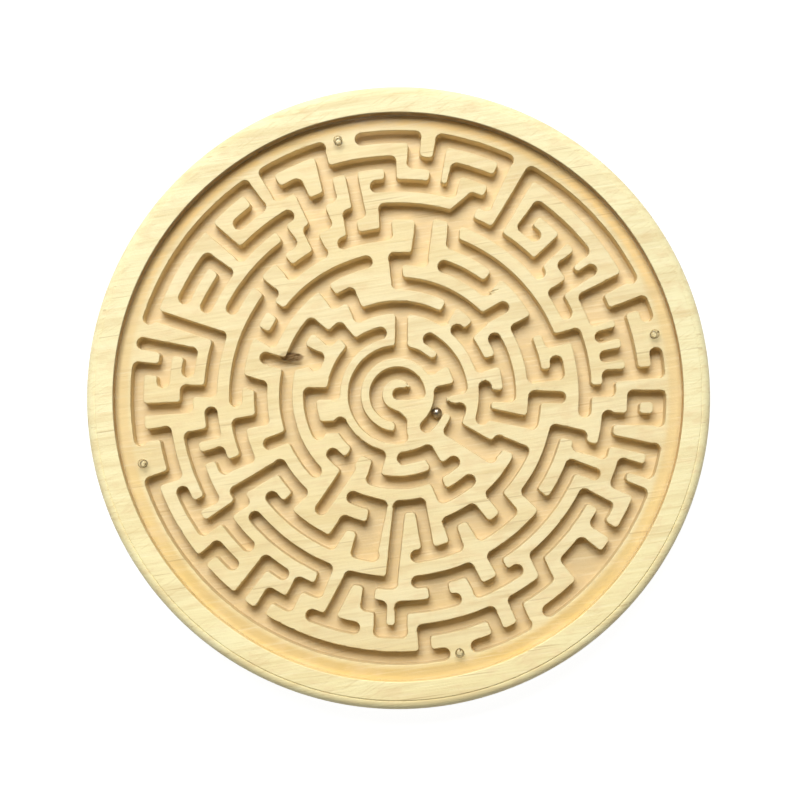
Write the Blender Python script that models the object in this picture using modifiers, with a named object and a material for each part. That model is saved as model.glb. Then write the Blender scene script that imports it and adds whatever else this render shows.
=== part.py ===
"""Round tilt maze: a milled wooden disc, a clear cover held by four pins, and one steel ball.

Units are metres, +Z is up, the disc rests on z = 0 and its axis is the Z axis.
"""
import math

import bpy

MM = 0.001

# ---- driving dimensions (metres) ----
DISC_RADIUS = 101.0 * MM
DISC_HEIGHT = 17.0 * MM
RIM_FLAT_RADIUS = 97.9 * MM     # where the rim's flat top ends
EDGE_STEP = 0.25 * MM           # small step that the round-over cutter leaves
EDGE_DROP = 3.0 * MM            # height of the rounded upper edge
EDGE_STEPS = 6
EDGE_BREAK = 0.8 * MM           # softened lower edge
RECESS_RADIUS = 92.3 * MM       # shallow step that takes the clear cover
WALL_TOP = 12.5 * MM            # height of the ledge and of every maze wall
CHANNEL_FLOOR = 7.5 * MM
RING_HALF_WIDTH = 2.05 * MM     # half of the width left by the round milling cutter
LINK_HALF_WIDTH = 1.95 * MM
CUT_TOP = 14.5 * MM             # channel cutters end inside the recess

COVER_RADIUS = 92.0 * MM
COVER_BOTTOM = 12.8 * MM
COVER_THICKNESS = 2.0 * MM
FIT_GAP = 0.3 * MM

PIN_CIRCLE_RADIUS = 85.5 * MM
PIN_ANGLES = (13.3, 103.4, 195.5, 283.8)
PIN_SHANK_RADIUS = 0.8 * MM
PIN_HEAD_RADIUS = 1.5 * MM
PIN_HEAD_HEIGHT = 0.6 * MM
PIN_BOTTOM = 5.0 * MM
PIN_TIP_HEIGHT = 1.2 * MM

BALL_RADIUS = 1.75 * MM
BALL_ANGLE = 336.0
BALL_LIFT = 0.2 * MM            # air left under the ball

# ---- maze layout: ring centre radii, arcs in degrees and the links between rings ----
RING_RADII = (7.0, 14.0, 20.8, 28.6, 36.4, 44.6, 52.7, 61.0, 68.8, 76.6, 85.0)

RING_ARCS = {
    0: ((5, 252),),
    1: ((38, 276), (312.7, 363.5)),
    2: ((6.4, 60), (105.9, 180), (207, 253.7), (275.8, 298.2), (325.8, 347)),
    3: ((-15.5, 5.2), (19, 47.3), (59.4, 116.2), (131.5, 141), (155.3, 160), (179.6, 206.5),
        (223.2, 237), (254, 309.8)),
    4: ((-0.5, 29.9), (41.8, 90), (115.6, 124.5), (141, 223.2), (247, 259.7), (271.3, 281.7),
        (294.3, 310), (330.5, 335.5)),
    5: ((7.6, 28.9), (50.7, 70.3), (79.8, 91.4), (103.5, 157), (176.8, 190.8), (211.4, 225.8),
        (248, 261), (292.2, 303), (313.8, 335.8), (348.1, 359.2)),
    6: ((7.6, 11.8), (19.4, 70.2), (94.2, 109.7), (118.4, 131.4), (141.4, 182.3), (190.8, 203.2),
        (219.7, 246.2), (256, 261.6), (277.2, 291.7), (301.3, 314.3), (323.5, 347.4)),
    7: ((-4.8, 18.9), (26.1, 33), (41, 94.2), (102.1, 105.3), (113, 118.4), (125.3, 152.5),
        (162.1, 179.2), (185.9, 192), (198.4, 203.3), (211.4, 215), (221.2, 248.1),
        (255.8, 268.4), (276.5, 292.4), (300.9, 338), (344.4, 347.4)),
    8: ((1.3, 5.2), (21, 27.5), (33, 38), (49.6, 53.2), (65.3, 69.3), (75.6, 96), (109, 115.8),
        (121.8, 138.5), (144.7, 155.4), (168.8, 173.8), (179.2, 183.6), (192, 209.5),
        (215, 225.5), (232.1, 237.6), (242.9, 248.2), (262, 265.6), (271.2, 286),
        (292.9, 304.3), (310.9, 332), (344.3, 354.2)),
    9: ((5.2, 21), (38.3, 53.3), (65.3, 75.6), (80.4, 86.4), (92.1, 108), (116, 121),
        (126.5, 132.9), (144.7, 155.7), (168.8, 177), (189.5, 199.9), (204.8, 215),
        (220.5, 226), (237.8, 242.9), (249.2, 259.6), (266, 271.2), (276.5, 293.3),
        (299.8, 309.3), (316, 321.2), (327.4, 332), (338.2, 343), (354.4, 359.8)),
    10: ((5.2, 9.2), (17.8, 21), (26.9, 59.2), (65.2, 80.4), (86.4, 98.3), (107.8, 121),
         (126.5, 163), (174.3, 190.2), (199.9, 280.4), (287.9, 299.3), (305.3, 338),
         (343, 348.1), (354.5, 359.8)),
}

# inner ring, outer ring, angle at the inner end, angle at the outer end
RING_LINKS = (
    (1, 3, 85.2, 87.5), (1, 2, 38, 36), (1, 2, 40, 38.5), (1, 2, 3.5, 6.4), (1, 2, 345, 346),
    (2, 3, 132, 131.5), (2, 3, 179.6, 179.6), (2, 3, 210.5, 202.5), (2, 3, 234.3, 235),
    (2, 3, 254.2, 254.2), (2, 3, 298.4, 298.8), (2, 4, 331, 330.8), (2, 4, 326, 326.5),
    (3, 4, 359.4, 359.4), (3, 4, 19, 19), (3, 4, 41.2, 41.2), (3, 4, 59.4, 59.4),
    (3, 4, 116.2, 115.6), (3, 4, 141, 141), (3, 4, 155.5, 165), (3, 4, 155.5, 155.2),
    (3, 4, 155.5, 160), (3, 5, 237.2, 236.7), (3, 4, 294.3, 294.3), (3, 5, 348, 348.2),
    (4, 5, 42, 39.8), (4, 5, 90, 91.4), (4, 5, 165, 164.7), (4, 5, 201.2, 201.2),
    (4, 6, 259.5, 259), (4, 7, 271.3, 268.4), (4, 6, 281.7, 281.4), (4, 5, 335.5, 335.8),
    (4, 6, 262, 261), (4, 5, 124.5, 125),
    (5, 6, 7.6, 7.6), (5, 6, 25.5, 25.5), (5, 6, 28.9, 28.9), (5, 6, 50.7, 50.7),
    (5, 7, 80, 80.8), (5, 7, 82.2, 82.4), (5, 6, 145.3, 145.3), (5, 6, 157, 156),
    (5, 6, 176.8, 174.5), (5, 6, 190.8, 190.7), (5, 7, 211.5, 211.4), (5, 6, 225.7, 225.5),
    (5, 6, 248, 246.2), (5, 6, 256.2, 256), (5, 6, 292.3, 291.7), (5, 6, 301, 301.3),
    (5, 6, 303, 304.2), (5, 6, 313.9, 313.1), (5, 6, 314.9, 314.4), (5, 6, 359.2, 359.2),
    (6, 7, 19.4, 18.9), (6, 7, 70.2, 72.4), (6, 7, 94.2, 94.2), (6, 7, 106, 105.3),
    (6, 7, 118.6, 118.4), (6, 7, 131.2, 131.2), (6, 7, 141.5, 141.3), (6, 7, 203.2, 203.2),
    (6, 7, 323.5, 322.5), (6, 7, 324.2, 323.8), (6, 7, 347.4, 347.5),
    (7, 8, 1.3, 1.3), (7, 8, 33, 33), (7, 8, 68.8, 69), (7, 8, 73.5, 69.3), (7, 8, 113, 113),
    (7, 8, 125.3, 125.3), (7, 8, 179.2, 179.2), (7, 8, 192, 192), (7, 8, 198.4, 198.4),
    (7, 8, 248.2, 248.2), (7, 8, 262, 262), (7, 8, 281, 281), (7, 8, 283.4, 283.4),
    (7, 8, 292.4, 293), (7, 8, 300.9, 300.7), (7, 8, 338, 338.2), (7, 8, 344.5, 344.4),
    (7, 9, 43.5, 43.5), (7, 9, 102.1, 102.1), (7, 9, 115.8, 115.8), (7, 9, 215, 215),
    (7, 9, 255.8, 253), (7, 10, 59.2, 59.2), (7, 10, 162.1, 162.1),
    (8, 9, 10.6, 10.6), (8, 9, 16, 16), (8, 8.8, 33, 33), (8, 9, 37.9, 37.9),
    (8, 9, 53.3, 53.3), (8, 9, 75.6, 75.6), (8, 9, 92.1, 92.1), (8, 9, 144.7, 144.7),
    (8, 9, 209.6, 209.2), (8, 9, 242.9, 242.9), (8, 9, 265.8, 266), (8, 9, 271.2, 271.2),
    (8, 9, 310.9, 309.3), (8, 9, 332, 332),
    (8, 10, 5.2, 5.2), (8, 10, 21, 21), (8, 10, 27.5, 27.5), (8, 10, 65.3, 65.3),
    (8, 10, 80.4, 80.4), (8, 10, 109, 108), (8, 10, 138.4, 138.6), (8, 10, 168.8, 168.8),
    (8, 10, 183.7, 183.6), (8, 10, 232.1, 232.1), (8, 10, 348, 348), (8, 10, 353.7, 354.7),
    (9, 10, 359.8, 359.8), (9, 10, 86.4, 86.4), (9, 10, 121, 121), (9, 10, 126.5, 126.5),
    (9, 10, 174.3, 174.3), (9, 10, 189.5, 189.5), (9, 10, 199.9, 199.9), (9, 10, 220.5, 220.5),
    (9, 10, 237.8, 237.8), (9, 10, 276.5, 276.5), (9, 10, 293.3, 293.3), (9, 10, 299.8, 299.2),
    (9, 10, 316, 315.3), (9, 10, 318.6, 318.3), (9, 10, 321.2, 321.2), (9, 10, 327.4, 327.4),
    (9, 10, 338.1, 338.1), (9, 10, 343, 343),
)
# straight cuts by end points, and short widening arcs as (radius, start, end)
HUB_CUTS = (((0.4, 0.2), (6.9, 0.5)), ((-0.6, -7.2), (1.2, -8.8)), ((1.2, -8.8), (1.1, -14.0)))
WIDENING_ARCS = ((45.6, 7.6, 25.5), (72.6, 21.5, 27), (59.4, 82, 92), (80.8, 316, 321))

# ---- mesh resolution ----
ARC_SAGITTA = 0.06 * MM
CAP_SEGMENTS = 4
DISC_SEGMENTS = 96
PIN_SEGMENTS = 16
BALL_SEGMENTS = 16
BALL_RINGS = 8
CUT_CLEARANCE = 0.4 * MM        # cuts closer than this are milled in separate passes
WELD = 0.00001


def collection(name):
    found = bpy.data.collections.new(name)
    bpy.context.scene.collection.children.link(found)
    return found


def material(name, colour, roughness, metallic=0.0, transmission=0.0, ior=1.5):
    made = bpy.data.materials.new(name)
    made.use_nodes = True
    shader = made.node_tree.nodes["Principled BSDF"]
    shader.inputs["Base Color"].default_value = (*colour, 1.0)
    shader.inputs["Roughness"].default_value = roughness
    shader.inputs["Metallic"].default_value = metallic
    shader.inputs["Transmission Weight"].default_value = transmission
    shader.inputs["IOR"].default_value = ior
    return made


def polar(radius, degrees):
    angle = math.radians(degrees)
    return radius * math.cos(angle), radius * math.sin(angle)


def ring_radius(ring):
    low = min(int(ring), len(RING_RADII) - 2)
    step = ring - low
    return (RING_RADII[low] * (1 - step) + RING_RADII[low + 1] * step) * MM


def cap(centre, start, half_width):
    """Half circle of points, counter-clockwise from the start angle in radians."""
    turn = math.pi / CAP_SEGMENTS
    return [(centre[0] + half_width * math.cos(start + turn * i),
             centre[1] + half_width * math.sin(start + turn * i)) for i in range(CAP_SEGMENTS + 1)]


def arc_outline(radius, start, end, half_width):
    """Outline of a slot that follows a circle about the disc axis."""
    step = math.degrees(2 * math.acos(1 - ARC_SAGITTA / (radius + half_width)))
    count = max(1, math.ceil((end - start) / step))
    between = [start + (end - start) * i / count for i in range(1, count)]
    outer = [polar(radius + half_width, angle) for angle in between]
    inner = [polar(radius - half_width, angle) for angle in reversed(between)]
    end_cap = cap(polar(radius, end), math.radians(end), half_width)
    start_cap = cap(polar(radius, start), math.radians(start) + math.pi, half_width)
    return outer + end_cap + inner + start_cap


def slot_outline(first, last, half_width):
    """Outline of a straight slot between two centres."""
    heading = math.atan2(last[1] - first[1], last[0] - first[0])
    return (cap(last, heading - math.pi / 2, half_width)
            + cap(first, heading + math.pi / 2, half_width))


def segment_gap(first, second):
    """Shortest distance between two centre lines, each a pair of points."""
    def to_segment(point, segment):
        (ax, ay), (bx, by) = segment
        along = ((point[0] - ax) * (bx - ax) + (point[1] - ay) * (by - ay))
        along = max(0.0, min(1.0, along / ((bx - ax) ** 2 + (by - ay) ** 2)))
        return math.hypot(point[0] - ax - along * (bx - ax), point[1] - ay - along * (by - ay))
    return min(to_segment(first[0], second), to_segment(first[1], second),
               to_segment(second[0], first), to_segment(second[1], first))


def link_passes():
    """Straight cuts, sorted into passes whose cuts never touch each other."""
    lines = [(polar(ring_radius(inner), start), polar(ring_radius(outer), end))
             for inner, outer, start, end in RING_LINKS]
    lines += [tuple((x * MM, y * MM) for x, y in ends) for ends in HUB_CUTS]
    passes = []
    for line in lines:
        clear = (cuts for cuts in passes
                 if all(segment_gap(line, cut) > 2 * LINK_HALF_WIDTH + CUT_CLEARANCE
                        for cut in cuts))
        found = next(clear, None)
        if found is None:
            found = []
            passes.append(found)
        found.append(line)
    return passes


def outline_solid(name, outlines, bottom, top, home):
    """Extruded solid over one or more outlines that do not touch each other."""
    curve = bpy.data.curves.new(name, "CURVE")
    curve.dimensions = "2D"
    curve.fill_mode = "BOTH"
    curve.extrude = (top - bottom) / 2
    for outline in outlines:
        spline = curve.splines.new("POLY")
        spline.points.add(len(outline) - 1)
        for point, (x, y) in zip(spline.points, outline):
            point.co = (x, y, 0.0, 1.0)
        spline.use_cyclic_u = True
    source = bpy.data.objects.new(name + "_curve", curve)
    home.objects.link(source)
    source.location.z = (top + bottom) / 2
    bpy.context.view_layer.update()
    mesh = bpy.data.meshes.new_from_object(source.evaluated_get(
        bpy.context.evaluated_depsgraph_get()))
    solid = bpy.data.objects.new(name, mesh)
    home.objects.link(solid)
    solid.matrix_world = source.matrix_world.copy()
    bpy.data.objects.remove(source)
    weld = solid.modifiers.new("Weld", "WELD")
    weld.merge_threshold = WELD
    return solid


def cylinder(name, radius, bottom, top, segments, home, centre=(0.0, 0.0)):
    outline = [(centre[0] + radius * math.cos(2 * math.pi * i / segments),
                centre[1] + radius * math.sin(2 * math.pi * i / segments))
               for i in range(segments)]
    return outline_solid(name, [outline], bottom, top, home)


def turned(name, profile, segments, home):
    """Solid of revolution about Z from (radius, height) points that start and end on the axis."""
    mesh = bpy.data.meshes.new(name)
    edges = [(i, i + 1) for i in range(len(profile) - 1)]
    mesh.from_pydata([(radius, 0.0, height) for radius, height in profile], edges, [])
    solid = bpy.data.objects.new(name, mesh)
    home.objects.link(solid)
    screw = solid.modifiers.new("Screw", "SCREW")
    screw.steps = screw.render_steps = segments
    screw.use_merge_vertices = True
    screw.merge_threshold = WELD
    screw.use_normal_calculate = True
    return solid


def cut(target, cutter):
    boolean = target.modifiers.new("Cut " + cutter.name, "BOOLEAN")
    boolean.operation = "DIFFERENCE"
    boolean.solver = "EXACT"
    boolean.object = cutter
    cutter.display_type = "WIRE"
    cutter.hide_render = True


def build_body(parts, cutters, wood):
    width = DISC_RADIUS - RIM_FLAT_RADIUS
    turns = [math.pi / 2 * i / EDGE_STEPS for i in range(EDGE_STEPS + 1)]
    rounded = [(RIM_FLAT_RADIUS + width * math.cos(turn),
                DISC_HEIGHT - EDGE_STEP - EDGE_DROP * (1 - math.sin(turn))) for turn in turns]
    profile = [(0.0, 0.0), (DISC_RADIUS - EDGE_BREAK, 0.0), (DISC_RADIUS, EDGE_BREAK),
               *rounded, (RIM_FLAT_RADIUS, DISC_HEIGHT), (0.0, DISC_HEIGHT)]
    body = turned("maze_body", profile, DISC_SEGMENTS, parts)
    cut(body, cylinder("recess", RECESS_RADIUS, WALL_TOP, DISC_HEIGHT + CUT_CLEARANCE,
                       DISC_SEGMENTS, cutters))
    rings = [arc_outline(ring_radius(ring), start, end, RING_HALF_WIDTH)
             for ring, arcs in RING_ARCS.items() for start, end in arcs]
    cut(body, outline_solid("ring_slots", rings, CHANNEL_FLOOR, CUT_TOP, cutters))
    for number, lines in enumerate(link_passes(), 1):
        slots = [slot_outline(first, last, LINK_HALF_WIDTH) for first, last in lines]
        cut(body, outline_solid(f"link_slots_{number}", slots, CHANNEL_FLOOR, CUT_TOP, cutters))
    wide = [arc_outline(radius * MM, start, end, LINK_HALF_WIDTH)
            for radius, start, end in WIDENING_ARCS]
    cut(body, outline_solid("widening_slots", wide, CHANNEL_FLOOR, CUT_TOP, cutters))
    for number, angle in enumerate(PIN_ANGLES, 1):
        cut(body, cylinder(f"pin_hole_{number}", PIN_SHANK_RADIUS + FIT_GAP, PIN_BOTTOM - FIT_GAP,
                           CUT_TOP, PIN_SEGMENTS, cutters, polar(PIN_CIRCLE_RADIUS, angle)))
    body.data.materials.append(wood)


def build_cover(parts, cutters, acrylic):
    cover = cylinder("clear_cover", COVER_RADIUS, COVER_BOTTOM, COVER_BOTTOM + COVER_THICKNESS,
                     DISC_SEGMENTS, parts)
    for number, angle in enumerate(PIN_ANGLES, 1):
        cut(cover, cylinder(f"cover_hole_{number}", PIN_SHANK_RADIUS + FIT_GAP, WALL_TOP,
                            DISC_HEIGHT, PIN_SEGMENTS, cutters, polar(PIN_CIRCLE_RADIUS, angle)))
    cover.data.materials.append(acrylic)


def build_pins(parts, plastic):
    head_bottom = COVER_BOTTOM + COVER_THICKNESS + FIT_GAP
    profile = [(0.0, PIN_BOTTOM), (PIN_SHANK_RADIUS, PIN_BOTTOM + PIN_TIP_HEIGHT),
               (PIN_SHANK_RADIUS, head_bottom), (PIN_HEAD_RADIUS, head_bottom),
               (PIN_HEAD_RADIUS, head_bottom + PIN_HEAD_HEIGHT / 2),
               (PIN_SHANK_RADIUS, head_bottom + PIN_HEAD_HEIGHT),
               (0.0, head_bottom + PIN_HEAD_HEIGHT)]
    for number, angle in enumerate(PIN_ANGLES, 1):
        pin = turned(f"cover_pin_{number}", profile, PIN_SEGMENTS, parts)
        pin.location = (*polar(PIN_CIRCLE_RADIUS, angle), 0.0)
        pin.data.materials.append(plastic)


def build_ball(parts, steel):
    height = CHANNEL_FLOOR + BALL_LIFT + BALL_RADIUS
    bpy.ops.mesh.primitive_uv_sphere_add(segments=BALL_SEGMENTS, ring_count=BALL_RINGS,
                                         radius=BALL_RADIUS,
                                         location=(*polar(RING_RADII[1] * MM, BALL_ANGLE), height))
    ball = bpy.context.active_object
    ball.name = "steel_ball"
    for owner in list(ball.users_collection):
        owner.objects.unlink(ball)
    parts.objects.link(ball)
    ball.data.materials.append(steel)


def main():
    for existing in list(bpy.data.objects):
        bpy.data.objects.remove(existing)
    parts = collection("tilt_maze")
    cutters = collection("cutters")
    build_body(parts, cutters, material("pale_wood", (0.86, 0.70, 0.45), 0.55))
    build_cover(parts, cutters,
                material("clear_acrylic", (0.96, 0.97, 0.97), 0.05, transmission=1.0, ior=1.49))
    build_pins(parts, material("pin_plastic", (0.80, 0.79, 0.74), 0.3))
    build_ball(parts, material("ball_steel", (0.62, 0.62, 0.63), 0.12, metallic=1.0))


main()
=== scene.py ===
"""Looks of the round tilt maze: milled wooden disc, clear cover, four pins and a steel ball."""
import math

import bmesh
import bpy
import numpy as np
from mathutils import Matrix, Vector, geometry


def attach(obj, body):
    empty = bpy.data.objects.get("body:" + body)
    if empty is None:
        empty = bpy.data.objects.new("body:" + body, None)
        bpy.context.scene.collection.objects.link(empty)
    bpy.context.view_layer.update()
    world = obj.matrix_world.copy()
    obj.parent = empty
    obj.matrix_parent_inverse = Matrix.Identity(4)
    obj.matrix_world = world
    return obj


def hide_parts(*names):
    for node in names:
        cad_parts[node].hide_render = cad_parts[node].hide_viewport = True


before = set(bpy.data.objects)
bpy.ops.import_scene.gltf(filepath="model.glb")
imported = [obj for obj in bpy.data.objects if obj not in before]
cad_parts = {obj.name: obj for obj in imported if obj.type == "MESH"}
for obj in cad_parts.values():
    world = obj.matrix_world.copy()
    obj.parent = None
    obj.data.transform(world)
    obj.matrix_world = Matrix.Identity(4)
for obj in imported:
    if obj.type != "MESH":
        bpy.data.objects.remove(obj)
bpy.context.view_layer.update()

MM = 0.001
SEED = 7
GRAIN_ANGLE = 9.0               # degrees that the grain rises towards +X

# ---- sizes in millimetres, as in the CAD to within 0.3 mm ----
DISC_RADIUS = 101.0
DISC_HEIGHT = 17.0
RIM_FLAT_RADIUS = 97.9
EDGE_STEP = 0.25
EDGE_DROP = 3.0
EDGE_BREAK = 0.8
GROOVE_DEPTH = 0.2              # by the rim's outer edge
GROOVE_HALF_WIDTH = 0.4
GROOVE_END = (-40.0, 20.0)      # Y between which the groove runs out
RECESS_RADIUS = 92.1
WALL_TOP = 12.5
CHANNEL_FLOOR = 7.5
RING_HALF_WIDTH = 2.05
LINK_HALF_WIDTH = 1.95
COVER_RADIUS = 91.8
COVER_BOTTOM = 12.8
COVER_THICKNESS = 2.0
PIN_PLACES = ((85.5, 13.3), (85.5, 103.4), (85.5, 195.5), (85.5, 283.8))
PIN_HOLE_RADIUS = 1.3
PIN_HOLE_BOTTOM = 4.7
PIN_SHANK_RADIUS = 0.95
PIN_HEAD_RADIUS = 1.5
PIN_HEAD_BOTTOM = 15.1
PIN_HEAD_HEIGHT = 0.6
PIN_BOTTOM = 5.0
BALL_RADIUS = 1.75
BALL_RING = 14.0
BALL_ANGLE = 336.0
BALL_HEIGHT = 9.45
BALL_CUTS = 11
COVER_BREAK = 0.15              # broken edge of the cover
SHADE_WEDGE_ANGLES = (35.0, 50.0, -10.0, 80.0)     # where each pin's dark wedge, painted shade, sits on its head

# ---- how finely the turned pieces are made ----
RIM_COUNT = 360
ROUNDING_STEPS = 12
COVER_COUNT = 240
HOLE_COUNT = 24
PIN_COUNT = 32
PIN_SHARP_ANGLE = 35            # degrees, between faces that aren't shaded as one
WOOD_SHARP_ANGLE = 38

# ---- maze layout: ring centre radii, arcs in degrees and the links between rings ----
RING_RADII = (7.0, 14.0, 20.8, 28.6, 36.4, 44.6, 52.7, 61.0, 68.8, 76.6, 85.0)
RING_ARCS = {
    0: ((5, 252),),
    1: ((38, 276), (312.7, 363.5)),
    2: ((6.4, 60), (105.9, 180), (207, 253.7), (275.8, 298.2), (325.8, 347)),
    3: ((-15.5, 5.2), (19, 47.3), (59.4, 116.2), (131.5, 141), (155.3, 160), (179.6, 206.5),
        (223.2, 237), (254, 309.8)),
    4: ((-0.5, 29.9), (41.8, 90), (115.6, 124.5), (141, 223.2), (247, 259.7), (271.3, 281.7),
        (294.3, 310), (330.5, 335.5)),
    5: ((7.6, 28.9), (50.7, 70.3), (79.8, 91.4), (103.5, 157), (176.8, 190.8), (211.4, 225.8),
        (248, 261), (292.2, 303), (313.8, 335.8), (348.1, 359.2)),
    6: ((7.6, 11.8), (19.4, 70.2), (94.2, 109.7), (118.4, 131.4), (141.4, 182.3), (190.8, 203.2),
        (219.7, 246.2), (256, 261.6), (277.2, 291.7), (301.3, 314.3), (323.5, 347.4)),
    7: ((-4.8, 18.9), (26.1, 33), (41, 94.2), (102.1, 105.3), (113, 118.4), (125.3, 152.5),
        (162.1, 179.2), (185.9, 192), (198.4, 203.3), (211.4, 215), (221.2, 248.1),
        (255.8, 268.4), (276.5, 292.4), (300.9, 338), (344.4, 347.4)),
    8: ((1.3, 5.2), (21, 27.5), (33, 38), (49.6, 53.2), (65.3, 69.3), (75.6, 96), (109, 115.8),
        (121.8, 138.5), (144.7, 155.4), (168.8, 173.8), (179.2, 183.6), (192, 209.5),
        (215, 225.5), (232.1, 237.6), (242.9, 248.2), (262, 265.6), (271.2, 286),
        (292.9, 304.3), (310.9, 332), (344.3, 354.2)),
    9: ((5.2, 21), (38.3, 53.3), (65.3, 75.6), (80.4, 86.4), (92.1, 108), (116, 121),
        (126.5, 132.9), (144.7, 155.7), (168.8, 177), (189.5, 199.9), (204.8, 215),
        (220.5, 226), (237.8, 242.9), (249.2, 259.6), (266, 271.2), (276.5, 293.3),
        (299.8, 309.3), (316, 321.2), (327.4, 332), (338.2, 343), (354.4, 359.8)),
    10: ((5.2, 9.2), (17.8, 21), (26.9, 59.2), (65.2, 80.4), (86.4, 98.3), (107.8, 121),
         (126.5, 163), (174.3, 190.2), (199.9, 280.4), (287.9, 299.3), (305.3, 338),
         (343, 348.1), (354.5, 359.8)),
}
# inner ring, outer ring, angle at the inner end, angle at the outer end
RING_LINKS = (
    (1, 3, 85.2, 87.5), (1, 2, 38, 36), (1, 2, 40, 38.5), (1, 2, 3.5, 6.4), (1, 2, 345, 346),
    (2, 3, 132, 131.5), (2, 3, 179.6, 179.6), (2, 3, 210.5, 202.5), (2, 3, 234.3, 235),
    (2, 3, 254.2, 254.2), (2, 3, 298.4, 298.8), (2, 4, 331, 330.8), (2, 4, 326, 326.5),
    (3, 4, 359.4, 359.4), (3, 4, 19, 19), (3, 4, 41.2, 41.2), (3, 4, 59.4, 59.4),
    (3, 4, 116.2, 115.6), (3, 4, 141, 141), (3, 4, 155.5, 165), (3, 4, 155.5, 155.2),
    (3, 4, 155.5, 160), (3, 5, 237.2, 236.7), (3, 4, 294.3, 294.3), (3, 5, 348, 348.2),
    (4, 5, 42, 39.8), (4, 5, 90, 91.4), (4, 5, 165, 164.7), (4, 5, 201.2, 201.2),
    (4, 6, 259.5, 259), (4, 7, 271.3, 268.4), (4, 6, 281.7, 281.4), (4, 5, 335.5, 335.8),
    (4, 6, 262, 261), (4, 5, 124.5, 125),
    (5, 6, 7.6, 7.6), (5, 6, 25.5, 25.5), (5, 6, 28.9, 28.9), (5, 6, 50.7, 50.7),
    (5, 7, 80, 80.8), (5, 7, 82.2, 82.4), (5, 6, 145.3, 145.3), (5, 6, 157, 156),
    (5, 6, 176.8, 174.5), (5, 6, 190.8, 190.7), (5, 7, 211.5, 211.4), (5, 6, 225.7, 225.5),
    (5, 6, 248, 246.2), (5, 6, 256.2, 256), (5, 6, 292.3, 291.7), (5, 6, 301, 301.3),
    (5, 6, 303, 304.2), (5, 6, 313.9, 313.1), (5, 6, 314.9, 314.4), (5, 6, 359.2, 359.2),
    (6, 7, 19.4, 18.9), (6, 7, 70.2, 72.4), (6, 7, 94.2, 94.2), (6, 7, 106, 105.3),
    (6, 7, 118.6, 118.4), (6, 7, 131.2, 131.2), (6, 7, 141.5, 141.3), (6, 7, 203.2, 203.2),
    (6, 7, 323.5, 322.5), (6, 7, 324.2, 323.8), (6, 7, 347.4, 347.5),
    (7, 8, 1.3, 1.3), (7, 8, 33, 33), (7, 8, 68.8, 69), (7, 8, 73.5, 69.3), (7, 8, 113, 113),
    (7, 8, 125.3, 125.3), (7, 8, 179.2, 179.2), (7, 8, 192, 192), (7, 8, 198.4, 198.4),
    (7, 8, 248.2, 248.2), (7, 8, 262, 262), (7, 8, 281, 281), (7, 8, 283.4, 283.4),
    (7, 8, 292.4, 293), (7, 8, 300.9, 300.7), (7, 8, 338, 338.2), (7, 8, 344.5, 344.4),
    (7, 9, 43.5, 43.5), (7, 9, 102.1, 102.1), (7, 9, 115.8, 115.8), (7, 9, 215, 215),
    (7, 9, 255.8, 253), (7, 10, 59.2, 59.2), (7, 10, 162.1, 162.1),
    (8, 9, 10.6, 10.6), (8, 9, 16, 16), (8, 8.8, 33, 33), (8, 9, 37.9, 37.9),
    (8, 9, 53.3, 53.3), (8, 9, 75.6, 75.6), (8, 9, 92.1, 92.1), (8, 9, 144.7, 144.7),
    (8, 9, 209.6, 209.2), (8, 9, 242.9, 242.9), (8, 9, 265.8, 266), (8, 9, 271.2, 271.2),
    (8, 9, 310.9, 309.3), (8, 9, 332, 332),
    (8, 10, 5.2, 5.2), (8, 10, 21, 21), (8, 10, 27.5, 27.5), (8, 10, 65.3, 65.3),
    (8, 10, 80.4, 80.4), (8, 10, 109, 108), (8, 10, 138.4, 138.6), (8, 10, 168.8, 168.8),
    (8, 10, 183.7, 183.6), (8, 10, 232.1, 232.1), (8, 10, 348, 348), (8, 10, 353.7, 354.7),
    (9, 10, 359.8, 359.8), (9, 10, 86.4, 86.4), (9, 10, 121, 121), (9, 10, 126.5, 126.5),
    (9, 10, 174.3, 174.3), (9, 10, 189.5, 189.5), (9, 10, 199.9, 199.9), (9, 10, 220.5, 220.5),
    (9, 10, 237.8, 237.8), (9, 10, 276.5, 276.5), (9, 10, 293.3, 293.3), (9, 10, 299.8, 299.2),
    (9, 10, 316, 315.3), (9, 10, 318.6, 318.3), (9, 10, 321.2, 321.2), (9, 10, 327.4, 327.4),
    (9, 10, 338.1, 338.1), (9, 10, 343, 343),
)
# straight cuts by end points, and short widening arcs as (radius, start, end)
HUB_CUTS = (((0.4, 0.2), (6.9, 0.5)), ((-0.6, -7.2), (1.2, -8.8)), ((1.2, -8.8), (1.1, -14.0)))
WIDENING_ARCS = ((45.6, 7.6, 25.5), (72.6, 21.5, 27), (59.4, 82, 92), (80.8, 316, 321))
# defects that are only in the looks: slits torn along the grain as (start, end, half width),
# and places with splinters as (middle, half sizes, heights, lengths, widths, spread, count)
TORN_FIBRES = (((-37.5, 11.7), (-33.2, 11.5), 0.22), ((28.9, 33.6), (32.6, 34.3), 0.24),
               ((29.4, 32.9), (31.5, 33.2), 0.2))
SPLINTER_BEDS = (((-35.0, 12.5), (2.8, 1.3), (9.0, 12.1), (1.8, 5.0), (0.22, 0.50), 12, 22),
                 ((66.7, 18.6), (0.0, 0.0), (8.0, 8.0), (2.2, 2.2), (0.6, 0.6), 10, 1),
                 ((30.6, 33.6), (1.0, 0.5), (10.5, 12.0), (1.2, 2.4), (0.2, 0.35), 15, 5))
STAIN = ((-34.9, 12.5), (5.2, 2.1))     # middle and half sizes of the dark torn place

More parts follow.
